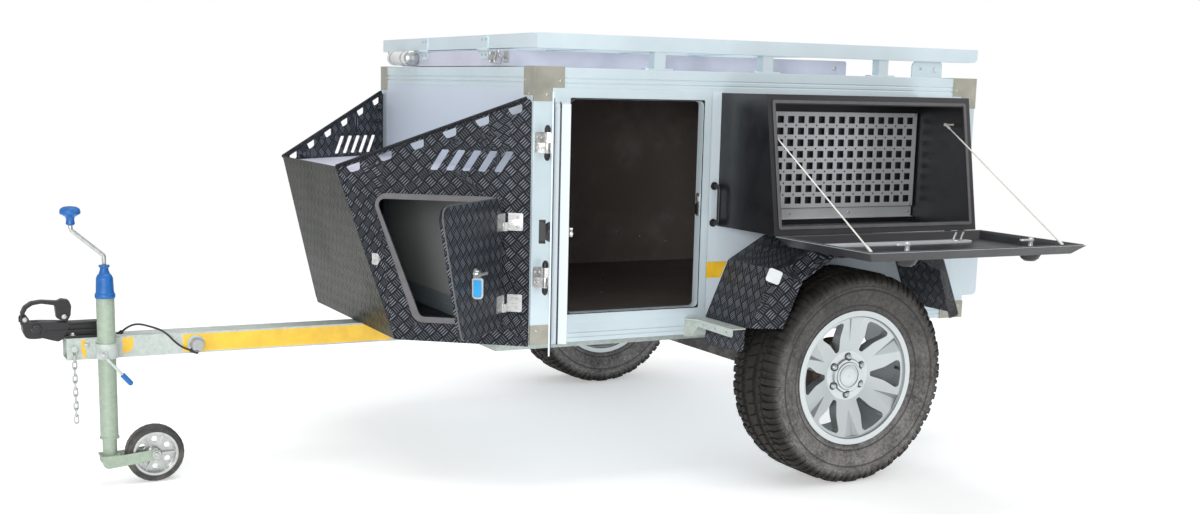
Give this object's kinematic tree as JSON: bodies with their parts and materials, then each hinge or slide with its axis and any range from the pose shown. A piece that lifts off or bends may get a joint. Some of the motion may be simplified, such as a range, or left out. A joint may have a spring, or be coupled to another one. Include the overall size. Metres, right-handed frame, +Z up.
{
  "type": "off-road box camping trailer",
  "caption": "Single-axle off-road box trailer with wedge nose locker, side doors, drop-lid kitchen boxes, roof rack and jockey wheel.",
  "frame": {"origin": "centre of the tow ball in the coupling", "axes": "+X to the rear, +Y to the trailer's right, +Z up"},
  "size_m": [3.5433, 2.8313, 1.575],
  "materials": {
    "axle_paint": "black chassis paint",
    "black_casting": "black coated steel",
    "black_plastic": "moulded black plastic",
    "blue_plastic": "moulded blue plastic",
    "box_black": "black powder coat, fine texture",
    "corner_steel": "brushed stainless plate",
    "deck_grey": "grey sheet",
    "drum_iron": "grey iron",
    "galvanised": "hot-dip galvanised steel, dull",
    "hinge_steel": "stainless steel",
    "lamp_red": "red lens",
    "mesh_aluminium": "punched aluminium sheet",
    "panel_white": "pale grey-white bonded panel, dark lined inside",
    "rail_aluminium": "pale anodised aluminium section",
    "rim_silver": "silver painted alloy",
    "seal_rubber": "grey rubber seal",
    "tread_plate": "black powder-coated five-bar tread plate",
    "tyre": "dusty black tyre rubber",
    "zinc": "bright zinc plate"
  },
  "bodies": {
    "frame": {"drawbar": "galvanised", "chassis": "galvanised", "axle": "axle_paint", "ball_coupling": "black_casting", "coupling_handle": "black_plastic", "safety_chain": "zinc", "lead_socket": "black_plastic", "trailer_lead": "seal_rubber", "grab_handles": "black_plastic", "jockey_clamp": "galvanised", "jockey_tube": "galvanised", "jockey_cap": "blue_plastic", "jockey_crank": "zinc", "jockey_knob": "blue_plastic", "body_frame": "rail_aluminium", "corner_plates": "corner_steel", "floor": "panel_white", "roof": "panel_white", "end_walls": "panel_white", "side_walls": "panel_white", "door_frames": "rail_aluminium", "hinge_bases": "hinge_steel", "nose_wings": "tread_plate", "nose_front": "tread_plate", "nose_deck": "deck_grey", "nose_floor": "tread_plate", "hatch_seals": "seal_rubber", "side_boxes": "box_black", "mesh_panel": "mesh_aluminium", "lid_stays": "zinc", "fenders": "tread_plate", "fender_arms": "galvanised", "roof_rack": "rail_aluminium", "roof_tray": "deck_grey", "tail_boxes": "panel_white", "tail_lamps": "lamp_red"},
    "left_wheel": {"left_tyre": "tyre", "left_rim": "rim_silver", "left_hub": "drum_iron"},
    "right_wheel": {"right_tyre": "tyre", "right_rim": "rim_silver", "right_hub": "drum_iron"},
    "jockey_castor": {"jockey_fork": "galvanised"},
    "jockey_roller": {"jockey_tyre": "tyre", "jockey_disc": "zinc"},
    "left_door_body": {"left_door": "panel_white", "left_door_leaves": "hinge_steel", "left_door_handle": "black_plastic", "left_door_latch": "zinc"},
    "right_door_body": {"right_door": "panel_white", "right_door_leaves": "hinge_steel", "right_door_handle": "black_plastic"},
    "left_hatch_body": {"left_hatch": "tread_plate", "left_hatch_leaves": "hinge_steel"},
    "right_hatch_body": {"right_hatch": "tread_plate", "right_hatch_leaves": "hinge_steel"},
    "left_lid_body": {"left_lid": "box_black", "left_lid_fittings": "zinc"},
    "right_lid_body": {"right_lid": "box_black", "right_lid_fittings": "zinc"}
  },
  "joints": [
    {"name": "left_wheel_spin", "type": "hinge", "parent": "frame", "child": "left_wheel", "pos_m": [2.656, -0.976, -0.1475], "axis": [0, 1, 0], "continuous": true},
    {"name": "right_wheel_spin", "type": "hinge", "parent": "frame", "child": "right_wheel", "pos_m": [2.656, 0.976, -0.1475], "axis": [0, 1, 0], "continuous": true},
    {"name": "jockey_swivel", "type": "hinge", "parent": "frame", "child": "jockey_castor", "pos_m": [0.218, -0.106, -0.435], "axis": [0, 0, 1], "continuous": true},
    {"name": "jockey_roll", "type": "hinge", "parent": "jockey_castor", "child": "jockey_roller", "pos_m": [0.368, -0.106, -0.435], "axis": [0, 1, 0], "continuous": true},
    {"name": "left_door_hinge", "type": "hinge", "parent": "frame", "child": "left_door_body", "pos_m": [1.545, -0.8, 0.392], "axis": [0, 0, 1], "range_deg": [0, 115.7]},
    {"name": "right_door_hinge", "type": "hinge", "parent": "frame", "child": "right_door_body", "pos_m": [1.545, 0.8, 0.392], "axis": [0, 0, 1], "range_deg": [0, 115.7]},
    {"name": "left_hatch_hinge", "type": "hinge", "parent": "frame", "child": "left_hatch_body", "pos_m": [1.42191, -0.72481, 0.265], "axis": [0, 0, -1], "range_deg": [0, 80]},
    {"name": "right_hatch_hinge", "type": "hinge", "parent": "frame", "child": "right_hatch_body", "pos_m": [1.42191, 0.72481, 0.265], "axis": [0, 0, -1], "range_deg": [0, 80]},
    {"name": "left_lid_hinge", "type": "hinge", "parent": "frame", "child": "left_lid_body", "pos_m": [2.6, -1.15, 0.373], "axis": [-1, 0, 0], "range_deg": [0, 99.72], "deforming": ["lid_stays"]},
    {"name": "right_lid_hinge", "type": "hinge", "parent": "frame", "child": "right_lid_body", "pos_m": [2.6, 1.15, 0.373], "axis": [-1, 0, 0], "range_deg": [0, 99.72]}
  ]
}
